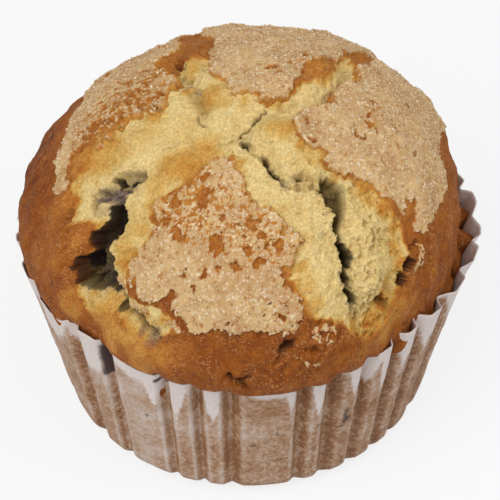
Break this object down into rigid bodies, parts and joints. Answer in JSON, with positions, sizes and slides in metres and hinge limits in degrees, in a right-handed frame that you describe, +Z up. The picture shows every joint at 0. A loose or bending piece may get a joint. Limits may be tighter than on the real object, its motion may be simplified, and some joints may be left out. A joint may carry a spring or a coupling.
{
  "type": "muffin",
  "caption": "Domed blueberry muffin with a cracked sugar crust over pale crumb, standing in its own pleated paper case.",
  "frame": {"origin": "centre of the case's flat base, where the muffin stands", "axes": "+Z up through the dome, -Y towards the side with the largest crust plate"},
  "size_m": [0.0758, 0.0744, 0.0627],
  "materials": {
    "cake": "baked crust, sugared, with pale crumb in the cracks",
    "paper": "white baking paper, browned by grease",
    "berry": "dark purple fruit skin, soft sheen"
  },
  "bodies": {
    "root": {"cake": "cake", "paper_case": "paper", "berry_upper": "berry", "berry_lower": "berry", "berry_side": "berry"}
  },
  "joints": []
}
